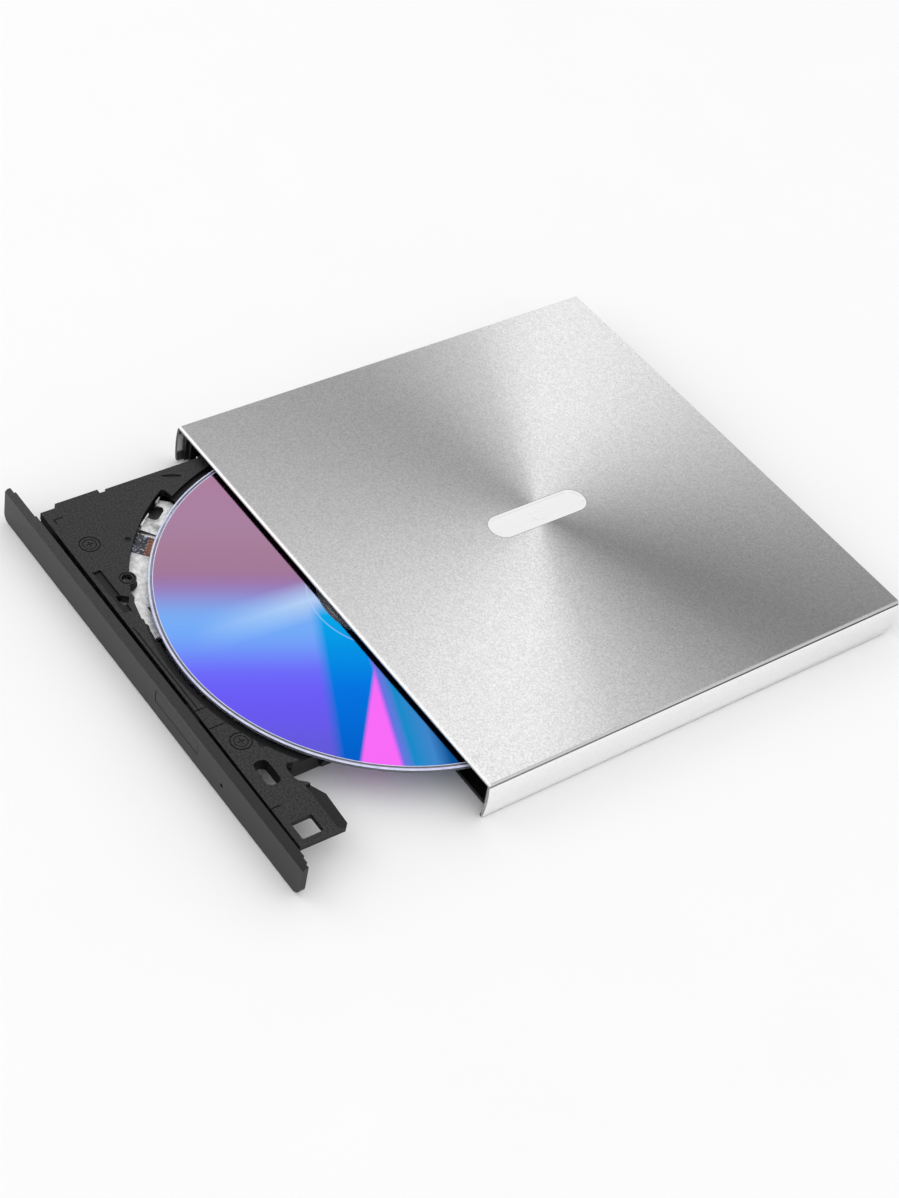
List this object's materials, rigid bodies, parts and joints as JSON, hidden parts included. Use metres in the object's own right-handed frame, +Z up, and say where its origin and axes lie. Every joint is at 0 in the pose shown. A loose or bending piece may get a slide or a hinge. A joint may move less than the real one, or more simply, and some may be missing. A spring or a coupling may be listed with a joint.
{
  "type": "external optical drive",
  "caption": "Slim external optical disc drive with an aluminium cover, its black tray part open and a disc on the spindle.",
  "frame": {"origin": "middle of the footprint of the whole drive with its tray at rest, on the surface it stands on", "axes": "+X to the right as seen from the front, +Y from the bezel to the rear, +Z up"},
  "size_m": [0.1424, 0.1872, 0.012],
  "materials": {
    "cover_aluminium": "spun and bead-blasted, clear anodised",
    "emblem_metal": "polished",
    "case_plastic": "fine moulded grain",
    "tray_plastic": "fine moulded grain",
    "bezel_plastic": "fine moulded grain",
    "foot_rubber": "matt",
    "sheet_steel": "rolled, zinc plated",
    "bright_sheet": "stamped, bright",
    "screw_steel": "turned, nickel plated",
    "black_screw": "turned, black zinc plated",
    "rod_steel": "ground",
    "motor_metal": "turned",
    "board_green": "solder resist",
    "chip_black": "moulded epoxy",
    "connector_shell": "plated",
    "connector_black": "moulded",
    "guide_plastic": "acetal",
    "ribbon_film": "polyester film",
    "flex_amber": "polyimide film",
    "coil_copper": "enamelled wire",
    "hub_plastic": "smooth",
    "pad_rubber": "matt",
    "disc_face": "clear polycarbonate over a mirror layer with a fine groove",
    "lens_glass": "coated"
  },
  "bodies": {
    "housing": {"top_cover": "cover_aluminium", "cover_emblem": "emblem_metal", "bottom_case": "case_plastic", "mouth_frame": "case_plastic", "rubber_feet": "foot_rubber", "mount_screws": "screw_steel", "bridge_board": "board_green", "bridge_chips": "chip_black", "usb_socket": "connector_shell", "usb_tongue": "connector_black", "sata_connector": "connector_black", "drive_chassis": "sheet_steel", "drive_lid": "sheet_steel", "left_rail_guide": "guide_plastic", "right_rail_guide": "guide_plastic", "latch_post": "rod_steel", "ribbon_socket": "connector_black", "ribbon_cable": "ribbon_film", "ejector_sleeve": "case_plastic", "ejector_spring": "rod_steel"},
    "ejector": {"ejector_plunger": "guide_plastic"},
    "left_rail": {"left_slide_rail": "sheet_steel"},
    "right_rail": {"right_slide_rail": "sheet_steel"},
    "tray": {"tray_frame": "tray_plastic", "tray_bezel": "bezel_plastic", "front_screws": "black_screw", "tray_belly_cover": "sheet_steel", "belly_screws": "screw_steel", "traverse_plate": "bright_sheet", "plate_bracket": "bright_sheet", "damper_bushes": "pad_rubber", "shoulder_screws": "screw_steel", "pickup_flex": "flex_amber", "spindle_stator": "motor_metal", "guide_rods": "rod_steel", "rod_holders": "hub_plastic", "feed_motor": "motor_metal", "tray_board": "board_green", "tray_chips": "chip_black", "board_socket": "connector_black", "eject_switch": "connector_shell", "latch_solenoid": "coil_copper", "latch_pivot": "rod_steel"},
    "button": {"eject_button": "bezel_plastic"},
    "latch": {"latch_lever": "guide_plastic"},
    "solenoid": {"solenoid_plunger": "rod_steel"},
    "spindle": {"spindle_rotor": "motor_metal", "turntable_pad": "pad_rubber", "centring_hub": "hub_plastic", "chuck_balls": "rod_steel", "disc": "disc_face"},
    "sled": {"pickup_sled": "motor_metal", "laser_cap": "hub_plastic", "sled_nut": "guide_plastic"},
    "lens": {"lens_holder": "hub_plastic", "objective_lens": "lens_glass"},
    "feed_screw": {"lead_screw": "rod_steel"}
  },
  "joints": [
    {"name": "tray_slide", "type": "slide", "parent": "housing", "child": "tray", "axis": [0, 1, 0], "range_m": [-0.0773, 0.0517], "deforming": ["ribbon_cable"]},
    {"name": "left_rail_slide", "type": "slide", "parent": "housing", "child": "left_rail", "axis": [0, 1, 0], "range_m": [-0.0465, 0.0311]},
    {"name": "right_rail_slide", "type": "slide", "parent": "housing", "child": "right_rail", "axis": [0, 1, 0], "range_m": [-0.0465, 0.0311]},
    {"name": "eject_button_press", "type": "slide", "parent": "tray", "child": "button", "axis": [0, 1, 0], "range_m": [0, 0.0006], "stiffness_N_per_m": 300, "springref_m": -0.0005},
    {"name": "spindle_spin", "type": "hinge", "parent": "tray", "child": "spindle", "pos_m": [0.00395, -0.02546, 0.005], "axis": [0, 0, 1], "continuous": true},
    {"name": "feed_screw_turn", "type": "hinge", "parent": "tray", "child": "feed_screw", "pos_m": [-0.0175, -0.0636, 0.0052], "axis": [0, 1, 0], "range_deg": [-2204, 1784]},
    {"name": "sled_slide", "type": "slide", "parent": "tray", "child": "sled", "axis": [0, 1, 0], "range_m": [-0.01834, 0.01484]},
    {"name": "lens_focus", "type": "slide", "parent": "sled", "child": "lens", "axis": [0, 0, 1], "range_m": [-0.0004, 0.0004], "stiffness_N_per_m": 20},
    {"name": "latch_swing", "type": "hinge", "parent": "tray", "child": "latch", "pos_m": [0.0465, -0.0866, 0.0042], "axis": [0, 0, -1], "range_deg": [0, 10]},
    {"name": "solenoid_pull", "type": "slide", "parent": "tray", "child": "solenoid", "axis": [1, 0, 0], "range_m": [0, 0.00116]},
    {"name": "ejector_push", "type": "slide", "parent": "housing", "child": "ejector", "axis": [0, 1, 0], "range_m": [0, 0.004], "stiffness_N_per_m": 200, "springref_m": -0.002, "deforming": ["ejector_spring"]}
  ],
  "couplings": [
    {"joint": "left_rail_slide", "follows": "tray_slide", "ratio": 0.6},
    {"joint": "right_rail_slide", "follows": "tray_slide", "ratio": 0.6},
    {"joint": "feed_screw_turn", "follows": "sled_slide", "rad_per_m": 2094.4},
    {"joint": "latch_swing", "follows": "solenoid_pull", "rad_per_m": 149.25}
  ]
}
